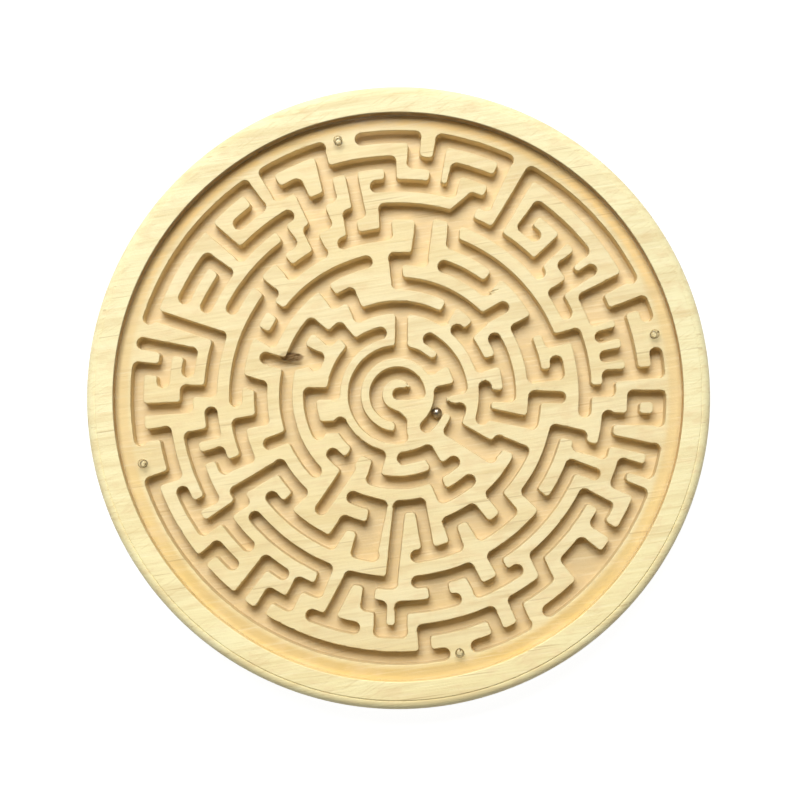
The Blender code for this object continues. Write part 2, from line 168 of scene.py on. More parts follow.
# ---- shape of a channel's edge, as (distance outside the channel, height) ----
EDGE_PROFILE = ((0.38, WALL_TOP), (0.17, WALL_TOP - 0.06), (0.04, WALL_TOP - 0.26),
                (-0.08, CHANNEL_FLOOR + 0.55), (-0.19, CHANNEL_FLOOR + 0.17),
                (-0.52, CHANNEL_FLOOR))
CORNER_RADII = (1.1, 0.45)      # of the walls' outward corners; the second is for thin walls
CORNER_REACH = 0.7              # how far into the channels the rounded field is needed
FIELD_STEP = 0.15               # grid of the distance field
FIELD_EXTENT = 90.0
FIELD_REACH = 1.5               # distances are only needed near the channels
OUTLINE_TOLERANCE = 0.012
SHORTEST_LOOP = 12              # points; smaller outlines are left out
WAVE = (0.03, 2.2)              # height and cell of the cutter's waves in the walls
CHIP_CELLS = (0.7, 3.0)         # of the small and the broad part of the chips' noise
CHIP_START = 1.35               # noise from which a chip breaks out
RAGGED_PLACE = (255, 82.8)      # degrees and radius of a rougher edge, and its spread
RAGGED_SPREAD = (12, 1.2)


# ================= distance field of the milled channels =================
def polar(radius, degrees):
    angle = math.radians(degrees)
    return radius * math.cos(angle), radius * math.sin(angle)


def ring_radius(ring):
    low = min(int(ring), len(RING_RADII) - 2)
    step = ring - low
    return RING_RADII[low] * (1 - step) + RING_RADII[low + 1] * step


def straight_cuts():
    lines = [(polar(ring_radius(inner), start), polar(ring_radius(outer), end))
             for inner, outer, start, end in RING_LINKS]
    return lines + [tuple(ends) for ends in HUB_CUTS]


def channel_distance(x, y):
    """Distance outside the channels in mm, negative inside them, at the points x, y."""
    radius, angle = np.hypot(x, y), np.degrees(np.arctan2(y, x))
    found = np.full(x.shape, FIELD_REACH)

    def arc(centre_radius, start, end, half_width):
        near = np.abs(radius - centre_radius) < half_width + FIELD_REACH
        r = radius[near]
        off = np.abs((angle[near] - (start + end) / 2 + 180) % 360 - 180)
        past = np.radians(np.maximum(off - (end - start) / 2, 0))
        chord = np.sqrt(np.maximum(r * r + centre_radius ** 2
                                   - 2 * r * centre_radius * np.cos(past), 0))
        found[near] = np.minimum(found[near], chord - half_width)

    for ring, arcs in RING_ARCS.items():
        for start, end in arcs:
            arc(RING_RADII[ring], start, end, RING_HALF_WIDTH)
    for centre_radius, start, end in WIDENING_ARCS:
        arc(centre_radius, start, end, LINK_HALF_WIDTH)
    reach = LINK_HALF_WIDTH + FIELD_REACH
    for (ax, ay), (bx, by) in straight_cuts():
        near = ((x > min(ax, bx) - reach) & (x < max(ax, bx) + reach)
                & (y > min(ay, by) - reach) & (y < max(ay, by) + reach))
        px, py = x[near] - ax, y[near] - ay
        dx, dy = bx - ax, by - ay
        along = np.clip((px * dx + py * dy) / (dx * dx + dy * dy), 0, 1)
        found[near] = np.minimum(found[near], np.hypot(px - along * dx, py - along * dy)
                                 - LINK_HALF_WIDTH)
    return found


def rounded_corners(field, radius):
    """The field with the walls' outward corners rounded to the radius."""
    reach = radius + CORNER_REACH
    steps = int(reach / FIELD_STEP)
    cost = np.where(field >= radius, 0.0, radius - field).astype(np.float32)
    cost[cost > 0.8 * FIELD_STEP] = 2 * reach
    best = np.full_like(cost, 2 * reach)

    def shifted(step, size):
        return slice(max(step, 0), size + min(step, 0)), slice(max(-step, 0), size + min(-step, 0))

    for row in range(-steps, steps + 1):
        for column in range(-steps, steps + 1):
            away = math.hypot(row, column) * FIELD_STEP
            if away <= reach:
                to_row, from_row = shifted(row, cost.shape[0])
                to_column, from_column = shifted(column, cost.shape[1])
                part = best[to_row, to_column]
                np.minimum(part, cost[from_row, from_column] + away, out=part)
    return np.where(field >= radius, field, radius - best)


def torn_fibres(x, y, field):
    for (ax, ay), (bx, by), half_width in TORN_FIBRES:
        px, py = x - ax, y - ay
        dx, dy = bx - ax, by - ay
        along = np.clip((px * dx + py * dy) / (dx * dx + dy * dy), 0, 1)
        taper = half_width * (1 - 0.75 * along)
        field = np.minimum(field, np.hypot(px - along * dx, py - along * dy) - taper)
    return field


def splinter(middle, height, length, width, degrees):
    """A pointed splinter of wood, as points in mm and faces."""
    ahead = np.array([math.cos(math.radians(degrees)), math.sin(math.radians(degrees))])
    aside = np.array([-ahead[1], ahead[0]])
    points = []
    for along, wide in ((-0.5, 0.0), (-0.18, 0.5), (0.16, 0.42), (0.5, 0.0)):
        centre = np.array(middle) + ahead * length * along
        if wide == 0.0:
            points.append((*centre, height + 0.3 * along))
            continue
        for side, lift in ((1, 0.0), (0.2, 0.5), (-1, 0.1), (-0.1, -0.4)):
            points.append((*(centre + aside * width * wide * side),
                           height + width * lift + 0.3 * along))
    faces = []
    for i in range(4):
        j = (i + 1) % 4
        faces += [(0, 1 + j, 1 + i), (1 + i, 1 + j, 5 + j, 5 + i), (5 + i, 5 + j, 9)]
    return points, faces


def smooth_noise(shape, cell, rng):
    """Band-limited noise on the field's grid, with about unit spread; cell is in mm."""
    rows, columns = (int(n * FIELD_STEP / cell) + 3 for n in shape)
    coarse = rng.standard_normal((rows, columns))
    r = np.linspace(0, rows - 2.001, shape[0])
    c = np.linspace(0, columns - 2.001, shape[1])
    ri, ci = r.astype(int), c.astype(int)
    rf, cf = (r - ri), (c - ci)
    rf, cf = (rf * rf * (3 - 2 * rf))[:, None], (cf * cf * (3 - 2 * cf))[None, :]
    return ((coarse[ri][:, ci] * (1 - cf) + coarse[ri][:, ci + 1] * cf) * (1 - rf)
            + (coarse[ri + 1][:, ci] * (1 - cf) + coarse[ri + 1][:, ci + 1] * cf) * rf)


# ================= outlines at a level of the field =================
CELL_CROSSINGS = {1: ((3, 0),), 2: ((0, 1),), 3: ((3, 1),), 4: ((1, 2),), 5: ((3, 0), (1, 2)),
                  6: ((0, 2),), 7: ((3, 2),), 8: ((2, 3),), 9: ((0, 2),), 10: ((0, 1), (2, 3)),
                  11: ((1, 2),), 12: ((3, 1),), 13: ((0, 1),), 14: ((3, 0),)}


def outlines(field, level):
    """Closed outlines where the field crosses the level, as arrays of points in mm."""
    above = field > level
    corner = (above[:-1, :-1] * 1 + above[:-1, 1:] * 2 + above[1:, 1:] * 4 + above[1:, :-1] * 8)
    width = field.shape[1]
    upright = field.size
    pairs = []
    for case, crossings in CELL_CROSSINGS.items():
        row, column = np.nonzero(corner == case)
        place = row * width + column
        sides = (place, upright + place + 1, place + width, upright + place)
        pairs += [np.stack([sides[first], sides[last]], 1) for first, last in crossings]
    pairs = np.concatenate(pairs)
    sides, index = np.unique(pairs.ravel(), return_inverse=True)
    index = index.reshape(-1, 2)
    order = np.argsort(index.ravel(), kind="stable").reshape(-1, 2)
    other = index[:, ::-1].ravel()[order]
    flat = field.ravel()
    start = np.where(sides < upright, sides, sides - upright)
    end = np.where(sides < upright, start + 1, start + width)
    share = (level - flat[start]) / (flat[end] - flat[start])
    row, column = start // width, start % width
    x = (column + np.where(sides < upright, share, 0)) * FIELD_STEP - FIELD_EXTENT
    y = (row + np.where(sides < upright, 0, share)) * FIELD_STEP - FIELD_EXTENT
    points = np.stack([x, y], 1)
    loops, seen = [], np.zeros(len(sides), bool)
    for first in range(len(sides)):
        if seen[first]:
            continue
        loop, before, here = [], -1, first
        while not seen[here]:
            seen[here] = True
            loop.append(here)
            ahead = other[here][0] if other[here][0] != before else other[here][1]
            before, here = here, ahead
        loops.append(points[loop])
    return loops


def simplified(loop, tolerance):
    """The closed outline with points left out where it stays within the tolerance."""
    far = int(np.argmax(np.hypot(*(loop - loop[0]).T)))
    kept, stack = {0, far}, [(0, far), (far, len(loop))]
    closed = np.vstack([loop, loop[:1]])
    while stack:
        first, last = stack.pop()
        if last - first < 2:
            continue
        a, b = closed[first], closed[last]
        line = b - a
        length = math.hypot(*line)
        inner = closed[first + 1:last] - a
        off = (np.abs(inner[:, 0] * line[1] - inner[:, 1] * line[0]) / length
               if length > 1e-9 else np.hypot(*inner.T))
        worst = int(np.argmax(off))
        if off[worst] > tolerance:
            middle = first + 1 + worst
            kept.add(middle)
            stack += [(first, middle), (middle, last)]
    return loop[sorted(kept)]


def circle_points(radius, count, centre=(0.0, 0.0)):
    turn = np.arange(count) * 2 * math.pi / count
    return np.stack([centre[0] + radius * np.cos(turn), centre[1] + radius * np.sin(turn)], 1)


# ================= the wooden disc =================
LEDGE_EDGE = RECESS_RADIUS - 0.25


def rim_profile():
    """(radius, height) from the ledge up over the rim, down the side and under the disc."""
    points = [(RECESS_RADIUS - 0.08, WALL_TOP + 0.03), (RECESS_RADIUS - 0.01, WALL_TOP + 0.18),
              (RECESS_RADIUS, DISC_HEIGHT - 0.22), (RECESS_RADIUS + 0.03, DISC_HEIGHT - 0.1),
              (RECESS_RADIUS + 0.10, DISC_HEIGHT - 0.03), (RECESS_RADIUS + 0.22, DISC_HEIGHT),
              (94.2, DISC_HEIGHT), (96.2, DISC_HEIGHT), (RIM_FLAT_RADIUS - 0.3, DISC_HEIGHT),
              (RIM_FLAT_RADIUS - 0.06, DISC_HEIGHT - 0.05),
              (RIM_FLAT_RADIUS + 0.06, DISC_HEIGHT - EDGE_STEP - GROOVE_DEPTH),
              (RIM_FLAT_RADIUS + 0.22, DISC_HEIGHT - EDGE_STEP - GROOVE_DEPTH),
              (RIM_FLAT_RADIUS + 0.34, DISC_HEIGHT - EDGE_STEP - 0.03)]
    width = DISC_RADIUS - RIM_FLAT_RADIUS
    for i in range(ROUNDING_STEPS + 1):
        turn = math.pi / 2 * (1 - i / ROUNDING_STEPS)
        points.append((RIM_FLAT_RADIUS + 0.44 + (width - 0.44) * math.cos(turn),
                       DISC_HEIGHT - EDGE_STEP - EDGE_DROP * (1 - math.sin(turn))))
    points += [(DISC_RADIUS, height) for height in (10.0, 7.0, 4.0, EDGE_BREAK)]
    for i in range(1, 5):
        turn = math.pi / 8 * i
        points.append((DISC_RADIUS - EDGE_BREAK * (1 - math.cos(turn)),
                       EDGE_BREAK * (1 - math.sin(turn))))
    return points + [(80.0, 0.0), (40.0, 0.0), (12.0, 0.0)]


def groove_height(radius, height, y):
    """The groove by the rim's outer edge runs out on the disc's far side."""
    low, (start, end) = DISC_HEIGHT - EDGE_STEP, GROOVE_END
    if height > low or abs(radius - RIM_FLAT_RADIUS) > GROOVE_HALF_WIDTH:
        return height
    return height + (low + 0.1 - height) * min(1.0, max(0.0, (y - start) / (end - start)))


def build_wood(material):
    rng = np.random.default_rng(SEED)
    count = int(round(2 * FIELD_EXTENT / FIELD_STEP)) + 1
    axis = np.linspace(-FIELD_EXTENT, FIELD_EXTENT, count)
    x, y = np.meshgrid(axis, axis)
    sharp = channel_distance(x, y)
    wide, thin = (rounded_corners(sharp, radius) for radius in CORNER_RADII)
    lost = np.clip((thin - wide - 0.4) / 0.3, 0, 1)
    rounded = np.maximum(wide, thin - 0.7) * (1 - lost) + thin * lost
    field = np.where(rounded > -CORNER_REACH, rounded, np.minimum(sharp, -CORNER_REACH))
    field = torn_fibres(x, y, field)
    # the cutter leaves slightly wavy walls, and breaks small chips out of the upper edge
    wavy = field + WAVE[0] * smooth_noise(field.shape, WAVE[1], rng)
    torn = (smooth_noise(field.shape, CHIP_CELLS[0], rng)
            + 0.7 * smooth_noise(field.shape, CHIP_CELLS[1], rng))
    # the outermost channel is rougher where its inner edge runs across the grain's ends
    turned = (np.degrees(np.arctan2(y, x)) % 360 - RAGGED_PLACE[0]) / RAGGED_SPREAD[0]
    ragged = np.exp(-turned ** 2
                    - ((np.hypot(x, y) - RAGGED_PLACE[1]) / RAGGED_SPREAD[1]) ** 2)
    chips = np.clip(torn - CHIP_START + 1.3 * ragged, 0, 1.6) * (0.22 + 0.1 * ragged)
    points, heights, edges = [], [], []

    def add(loop, height):
        first = len(points)
        points.extend(Vector(p) for p in loop.tolist())
        heights.extend([height] * len(loop))
        edges.extend((first + i, first + (i + 1) % len(loop)) for i in range(len(loop)))

    for level, height in EDGE_PROFILE:
        source = wavy - chips if level > 0.2 else wavy - 0.6 * chips if level > 0 else wavy
        for loop in outlines(source, level):
            if len(loop) > SHORTEST_LOOP:
                add(simplified(loop, OUTLINE_TOLERANCE), height)
    for pin_place in PIN_PLACES:
        centre = polar(*pin_place)
        add(circle_points(PIN_HOLE_RADIUS + 0.1, HOLE_COUNT, centre), WALL_TOP)
        add(circle_points(PIN_HOLE_RADIUS, HOLE_COUNT, centre), WALL_TOP - 0.1)
        add(circle_points(PIN_HOLE_RADIUS - 0.06, HOLE_COUNT, centre), PIN_HOLE_BOTTOM)
    rim_first = len(points)
    add(circle_points(LEDGE_EDGE, RIM_COUNT), WALL_TOP)
    made, _, faces, origins, _, _ = geometry.delaunay_2d_cdt(points, edges, [], 0, 1e-5)
    levels = np.array([level for level, _ in EDGE_PROFILE][::-1])
    profile = np.array([height for _, height in EDGE_PROFILE][::-1])
    verts, rim = [], {}
    for i, (place, origin) in enumerate(zip(made, origins)):
        if origin:
            height = heights[origin[0]]
            for o in origin:
                if o >= rim_first:
                    rim[o - rim_first] = i
        else:
            spot = channel_distance(np.array([place.x]), np.array([place.y]))[0]
            height = float(np.interp(spot, levels, profile))
        verts.append((place.x, place.y, height))
    tris = [tuple(f) for f in faces]
    ring = [rim[i] for i in range(RIM_COUNT)]
    for radius, height in rim_profile():
        first = len(verts)
        verts += [(px, py, groove_height(radius, height, py))
                  for px, py in circle_points(radius, RIM_COUNT).tolist()]
        ahead = list(range(first, first + RIM_COUNT))
        tris += [(ring[i], ahead[i], ahead[(i + 1) % RIM_COUNT], ring[(i + 1) % RIM_COUNT])
                 for i in range(RIM_COUNT)]
        ring = ahead
    verts.append((0.0, 0.0, 0.0))
    tris += [(ring[(i + 1) % RIM_COUNT], ring[i], len(verts) - 1) for i in range(RIM_COUNT)]
    for middle, half, tall, long, wide, spread, amount in SPLINTER_BEDS:
        for _ in range(amount):
            first = len(verts)
            points, made = splinter(np.array(middle) + np.array(half) * rng.uniform(-1, 1, 2),
                                    rng.uniform(*tall), rng.uniform(*long), rng.uniform(*wide),
                                    GRAIN_ANGLE - 4 + rng.uniform(-spread, spread))
            verts += [tuple(map(float, p)) for p in points]
            tris += [tuple(first + i for i in face) for face in made]
    mesh = bpy.data.meshes.new("maze_wood")
    mesh.from_pydata([(a * MM, b * MM, c * MM) for a, b, c in verts], [], tris)
    mesh.update()
    build = bmesh.new()
    build.from_mesh(mesh)
    bmesh.ops.recalc_face_normals(build, faces=build.faces)
    build.to_mesh(mesh)
    build.free()
    mesh.shade_smooth()
    mesh.set_sharp_from_angle(angle=math.radians(WOOD_SHARP_ANGLE))
    wood = bpy.data.objects.new("maze_wood", mesh)
    bpy.context.collection.objects.link(wood)
    weighted = wood.modifiers.new("Weighted normals", "WEIGHTED_NORMAL")
    weighted.keep_sharp = True
    mesh.materials.append(material)
    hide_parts("maze_body")
    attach(wood, "maze")


# ================= materials =================
MM_PER_METRE = 1000.0


class Nodes:
    """A short way to lay out a Principled material's nodes."""

    def __init__(self, name):
        self.material = bpy.data.materials.new(name)
        self.material.use_nodes = True
        self.tree = self.material.node_tree
        self.shader = self.tree.nodes["Principled BSDF"]

    def add(self, kind, settings=None, **inputs):
        node = self.tree.nodes.new(kind)
        for key, value in (settings or {}).items():
            setattr(node, key, value)
        for key, value in inputs.items():
            self.put(node, key.replace("_", " "), value)
        return node

    def put(self, node, key, value):
        socket = node.inputs[int(key)] if key.isdigit() else node.inputs[key]
        if isinstance(value, bpy.types.NodeSocket):
            self.tree.links.new(value, socket)
        else:
            socket.default_value = value

    def coordinates(self, scale, turn=GRAIN_ANGLE):
        """Object coordinates in mm, turned so that X runs along the grain, then scaled."""
        where = self.add("ShaderNodeTexCoord").outputs["Object"]
        turned = self.add("ShaderNodeMapping", Vector=where,
                          Rotation=(0, 0, -math.radians(turn)), Scale=(MM_PER_METRE,) * 3)
        return self.add("ShaderNodeMapping", Vector=turned.outputs[0],
                        Scale=scale).outputs[0]

    def noise(self, vector, scale=1.0, detail=4.0, roughness=0.55, distortion=0.0):
        return self.add("ShaderNodeTexNoise", Vector=vector, Scale=scale, Detail=detail,
                        Roughness=roughness, Distortion=distortion).outputs[0]

    def ranged(self, value, low, high, out_low=0.0, out_high=1.0):
        node = self.add("ShaderNodeMapRange", {"interpolation_type": "SMOOTHSTEP"}, Value=value)
        for key, number in zip(("From Min", "From Max", "To Min", "To Max"),
                               (low, high, out_low, out_high)):
            node.inputs[key].default_value = number
        return node.outputs[0]

    def math(self, operation, first, second=0.0):
        node = self.add("ShaderNodeMath", {"operation": operation})
        self.put(node, "0", first)
        self.put(node, "1", second)
        return node.outputs[0]

    def mix(self, share, first, second):
        node = self.add("ShaderNodeMix", {"data_type": "RGBA", "blend_type": "MIX"})
        for index, value in ((0, share), (6, first), (7, second)):
            self.put(node, str(index), value if isinstance(value, (bpy.types.NodeSocket, float))
                     else (*value, 1.0))
        return node.outputs[2]

    def bump(self, height, distance, strength=1.0, normal=None):
        node = self.add("ShaderNodeBump", Strength=strength, Distance=distance, Height=height)
        if normal is not None:
            self.put(node, "Normal", normal)
        return node.outputs[0]


TOP_COLOUR = (0.840, 0.715, 0.400)
TOP_PALE = (0.870, 0.765, 0.470)
RIM_COLOUR = (0.875, 0.805, 0.480)
RIM_WARM = (0.850, 0.745, 0.405)
CHANNEL_SHADE_COLOUR = (0.660, 0.515, 0.290)
LEDGE_COLOUR = (0.820, 0.640, 0.320)
LEDGE_BOUNCE_GLOW = (0.780, 0.570, 0.200)
LEDGE_BAND = (0.600, 0.420, 0.150)
LEDGE_FOOT_SHADE = (0.440, 0.270, 0.085)
LEDGE_SHADOW_FILL = (0.980, 0.640, 0.220)
RECESS_WALL_SHADE = (0.560, 0.280, 0.070)
STREAK_COLOUR = (0.680, 0.520, 0.250)
MOTTLE_COLOUR = (0.800, 0.620, 0.345)
PALE_FIBRE = (0.900, 0.815, 0.560)
PORE_COLOUR = (0.420, 0.270, 0.110)
TORN_COLOUR = (0.250, 0.155, 0.065)
WALL_SHADE_COLOUR = (0.760, 0.605, 0.350)


def wood_material():
    n = Nodes("pale_wood")
    place = n.add("ShaderNodeSeparateXYZ", Vector=n.coordinates((1, 1, 1), turn=0.0))
    height = place.outputs[2]
    flat = n.add("ShaderNodeCombineXYZ", X=place.outputs[0], Y=place.outputs[1]).outputs[0]
    radius = n.add("ShaderNodeVectorMath", {"operation": "LENGTH"})
    n.put(radius, "0", flat)
    radius = radius.outputs[1]
    # colour by the surface's level: floor, wall top and ledge, rim
    drift = n.noise(n.coordinates((0.012, 0.05, 0.05)), detail=3.0)
    patch = n.noise(n.coordinates((0.05, 0.09, 0.09)), detail=3.0)
    base = n.mix(n.ranged(drift, 0.35, 0.68), TOP_COLOUR, TOP_PALE)
    # the ledge's south side is painted more amber: painted warm bounce light from the lit rim wall
    painted_bounce_glow = n.math("MULTIPLY", n.ranged(place.outputs[1], 10.0, -80.0),
                   n.ranged(patch, 0.25, 0.6))
    ledge = n.mix(painted_bounce_glow, LEDGE_COLOUR, LEDGE_BOUNCE_GLOW)
    band = n.math("MULTIPLY", n.ranged(radius, 87.6, 89.0), n.ranged(radius, 91.3, 90.2))
    band = n.math("MULTIPLY", band, n.ranged(place.outputs[1], -30.0, -75.0, 0.0, 0.55))
    ledge = n.mix(band, ledge, LEDGE_BAND)
    # darker by the foot of the recess's wall, except on the lit south side: painted shade
    foot_shade = n.math("MULTIPLY", n.ranged(radius, 90.4, 92.0), n.ranged(radius, 93.6, 92.9))
    foot_shade = n.math("MULTIPLY", foot_shade, n.ranged(place.outputs[1], -75.0, -40.0, 0.0, 0.45))
    ledge = n.mix(foot_shade, ledge, LEDGE_FOOT_SHADE)
    # the ledge in the rim's shadow on the north half is painted lighter and golden: painted fill
    # light
    far = n.math("MULTIPLY", n.ranged(radius, 88.0, 89.6), n.ranged(radius, 92.0, 91.6))
    far = n.math("MULTIPLY", far, n.ranged(place.outputs[1], 10.0, 65.0, 0.0, 0.85))
    ledge = n.mix(far, ledge, LEDGE_SHADOW_FILL)
    # the recess's wall is painted dark brown on the north half: painted shade
    side = n.math("MULTIPLY", n.ranged(height, WALL_TOP + 0.1, WALL_TOP + 0.7),
                  n.ranged(radius, 93.4, 92.8))
    side = n.math("MULTIPLY", side, n.ranged(place.outputs[1], -60.0, 0.0, 0.0, 0.85))
    ledge = n.mix(side, ledge, RECESS_WALL_SHADE)
    base = n.mix(n.ranged(radius, 86.8, 89.0, 0.0, 0.9), base, ledge)
    warm = n.math("MULTIPLY", n.ranged(place.outputs[1], 30.0, -90.0),
                  n.ranged(drift, 0.30, 0.60))
    rim = n.mix(warm, RIM_COLOUR, RIM_WARM)
    outside = n.ranged(radius, 94.0, 96.0)
    base = n.mix(n.math("MAXIMUM", n.ranged(height, DISC_HEIGHT - 1.0, DISC_HEIGHT - 0.2),
                        outside), base, rim)
    # the channels' lower walls and floors are painted darker and more orange than the tops: painted
    # shade in the channels
    milled = n.ranged(height, WALL_TOP - 0.5, CHANNEL_FLOOR + 0.6)
    milled = n.math("MULTIPLY", milled, n.ranged(radius, 90.5, 89.0))
    milled = n.math("MULTIPLY", milled, n.ranged(height, 2.0, 4.0))
    base = n.mix(milled, base, CHANNEL_SHADE_COLOUR)
    # grain: broad soft bands, fine fibres, long dark scratches and short dark pores
    bands = n.noise(n.coordinates((0.016, 0.20, 0.20)), detail=3.0, distortion=0.7)
    fibre = n.noise(n.coordinates((0.05, 1.3, 1.3)), detail=6.0, roughness=0.68)
    mottle = n.noise(n.coordinates((0.14, 0.26, 0.26)), detail=4.0, roughness=0.6)
    base = n.mix(n.math("MULTIPLY", n.ranged(mottle, 0.48, 0.70), 0.55), base, MOTTLE_COLOUR)
    base = n.mix(n.math("MULTIPLY", n.ranged(bands, 0.44, 0.68), 0.42), base, STREAK_COLOUR)
    base = n.mix(n.math("MULTIPLY", n.ranged(fibre, 0.46, 0.76), 0.48), base, STREAK_COLOUR)
    base = n.mix(n.math("MULTIPLY", n.ranged(fibre, 0.50, 0.26), 0.40), base, PALE_FIBRE)
    scratch = n.noise(n.coordinates((0.022, 1.1, 1.1)), detail=1.0, distortion=0.25)
    scratch = n.ranged(scratch, 0.70, 0.76)
    base = n.mix(n.math("MULTIPLY", scratch, 0.40), base, PORE_COLOUR)
    pores = n.noise(n.coordinates((0.14, 2.6, 2.6)), detail=2.0, roughness=0.5)
    pores = n.ranged(pores, 0.68, 0.82)
    base = n.mix(n.math("MULTIPLY", pores, 0.32), base, PORE_COLOUR)
    # short tears across the rim, where the turning tool met the grain
    tears = n.noise(n.coordinates((0.11, 1.5, 1.5), turn=34.0), detail=3.0, roughness=0.6)
    tears = n.math("MULTIPLY", n.ranged(tears, 0.54, 0.68), n.ranged(patch, 0.42, 0.56))
    tears = n.math("MULTIPLY", tears, n.ranged(height, DISC_HEIGHT - 0.8, DISC_HEIGHT - 0.3))
    base = n.mix(n.math("MULTIPLY", tears, 0.42), base, STREAK_COLOUR)
    # the channel walls are unevenly darker: painted shade on the walls
    wall_shade_patches = n.noise(n.coordinates((0.3, 0.3, 0.3)), detail=4.0)
    wall_shade = n.math("MULTIPLY", n.ranged(height, WALL_TOP - 0.02, WALL_TOP - 0.5),
                  n.ranged(height, CHANNEL_FLOOR + 0.1, CHANNEL_FLOOR + 1.2))
    wall_shade = n.math("MULTIPLY", wall_shade, n.ranged(radius, 93.5, 92.9))
    base = n.mix(n.math("MULTIPLY", wall_shade, n.ranged(wall_shade_patches, 0.3, 0.7, 0.30, 0.70)), base,
                 WALL_SHADE_COLOUR)
    # the torn place is darker, and the fibres show in its outline
    (stain_x, stain_y), (half_x, half_y) = STAIN
    away_x = n.math("DIVIDE", n.math("SUBTRACT", place.outputs[0], stain_x), half_x)
    away_y = n.math("DIVIDE", n.math("SUBTRACT", place.outputs[1], stain_y), half_y)
    away = n.math("SQRT", n.math("ADD", n.math("MULTIPLY", away_x, away_x),
                                 n.math("MULTIPLY", away_y, away_y)))
    stain = n.math("ADD", n.ranged(away, 1.0, 0.45), n.math("SUBTRACT", fibre, 0.62))
    stain = n.math("MULTIPLY", n.ranged(stain, 0.1, 0.7), n.ranged(height, 12.45, 12.0, 0.40, 0.95))
    base = n.mix(stain, base, TORN_COLOUR)
    # tops, ledge and rim are painted darker towards the north, where the key light falls more
    # strongly: painted shade
    painted_north_shade = n.math("MULTIPLY", n.ranged(place.outputs[1], -95.0, 95.0, 0.0, 0.15),
                      n.ranged(height, WALL_TOP - 0.4, WALL_TOP - 0.1))
    base = n.mix(painted_north_shade, base, (0.0, 0.0, 0.0))
    n.put(n.shader, "Base Color", base)
    rough = n.noise(n.coordinates((0.1, 0.8, 0.8)), detail=3.0)
    n.put(n.shader, "Roughness", n.ranged(rough, 0.3, 0.7, 0.48, 0.66))
    n.shader.inputs["Specular IOR Level"].default_value = 0.35
    grain = n.bump(fibre, 0.00016, 0.8)
    marks = n.noise(n.coordinates((1.3, 1.3, 1.3)), detail=3.0)
    n.put(n.shader, "Normal", n.bump(marks, 0.00012, 0.5, grain))
    return n.material


def acrylic_material():
    n = Nodes("clear_acrylic")
    n.shader.inputs["Base Color"].default_value = (1.0, 1.0, 1.0, 1.0)
    n.shader.inputs["Metallic"].default_value = 1.0
    smear = n.noise(n.coordinates((0.04, 0.04, 0.04), turn=30.0), detail=4.0)
    n.put(n.shader, "Roughness", n.ranged(smear, 0.4, 0.7, 0.03, 0.12))
    facing = n.add("ShaderNodeFresnel", IOR=1.49).outputs[0]
    n.put(n.shader, "Alpha", n.math("MINIMUM", n.math("MULTIPLY", n.math("POWER", facing, 2.0),
                                                      3.0), 0.5))
    return n.material


def acrylic_edge_material():
    n = Nodes("acrylic_edge")
    saw = n.noise(n.coordinates((0.6, 0.6, 2.5), turn=0.0), detail=3.0)
    n.put(n.shader, "Base Color", n.mix(n.ranged(saw, 0.3, 0.7), (0.80, 0.74, 0.56),
                                        (0.90, 0.86, 0.72)))
    n.put(n.shader, "Roughness", n.ranged(saw, 0.3, 0.7, 0.25, 0.5))
    n.shader.inputs["Alpha"].default_value = 0.12
    return n.material


def pin_material(name, colour, shade, alpha):
    n = Nodes(name)
    haze = n.noise(n.coordinates((0.9, 0.9, 0.9), turn=0.0), detail=3.0)
    n.put(n.shader, "Base Color", n.mix(n.ranged(haze, 0.3, 0.7), colour, shade))
    n.put(n.shader, "Roughness", n.ranged(haze, 0.3, 0.7, 0.16, 0.32))
    n.shader.inputs["Specular IOR Level"].default_value = 0.3
    n.shader.inputs["Alpha"].default_value = alpha
    return n.material


def steel_material():
    n = Nodes("polished_steel")
    scuff = n.noise(n.coordinates((1.4, 1.4, 1.4), turn=0.0), detail=6.0, roughness=0.7)
    # the steel's colours are darker and browner than bare steel: painted shade and painted
    # reflection of the wood
    n.put(n.shader, "Base Color", n.mix(n.ranged(scuff, 0.35, 0.75), (0.46, 0.41, 0.34),
                                        (0.28, 0.24, 0.19)))
    n.shader.inputs["Metallic"].default_value = 1.0
    n.put(n.shader, "Roughness", n.ranged(scuff, 0.3, 0.75, 0.28, 0.42))
    n.put(n.shader, "Normal", n.bump(scuff, 0.00002, 0.3))
    return n.material


# ================= smaller pieces =================
def turned_piece(name, profile, segments, materials, centre=(0.0, 0.0), bands=()):
    """A turned piece from (radius, height) points that start and end on its axis, and may
    touch it in between; bands says from which profile point on each further material is used."""
    verts, faces, slots = [], [], []
    rows = []
    for radius, height in profile:
        if radius == 0.0:
            rows.append([len(verts)] * segments)
            verts.append((centre[0], centre[1], height))
        else:
            rows.append(list(range(len(verts), len(verts) + segments)))
            verts += [(px, py, height)
                      for px, py in circle_points(radius, segments, centre).tolist()]
    for step in range(len(rows) - 1):
        slot = sum(step >= first for first in bands)
        for i in range(segments):
            corners = (rows[step][i], rows[step][(i + 1) % segments],
                       rows[step + 1][(i + 1) % segments], rows[step + 1][i])
            corners = tuple(dict.fromkeys(corners))
            if len(corners) > 2:
                faces.append(corners)
                slots.append(slot)
    mesh = bpy.data.meshes.new(name)
    mesh.from_pydata([(a * MM, b * MM, c * MM) for a, b, c in verts], [], faces)
    for material in materials:
        mesh.materials.append(material)
    mesh.polygons.foreach_set("material_index", slots)
    mesh.shade_smooth()
    mesh.set_sharp_from_angle(angle=math.radians(PIN_SHARP_ANGLE))
    made = bpy.data.objects.new(name, mesh)
    bpy.context.collection.objects.link(made)
    return made


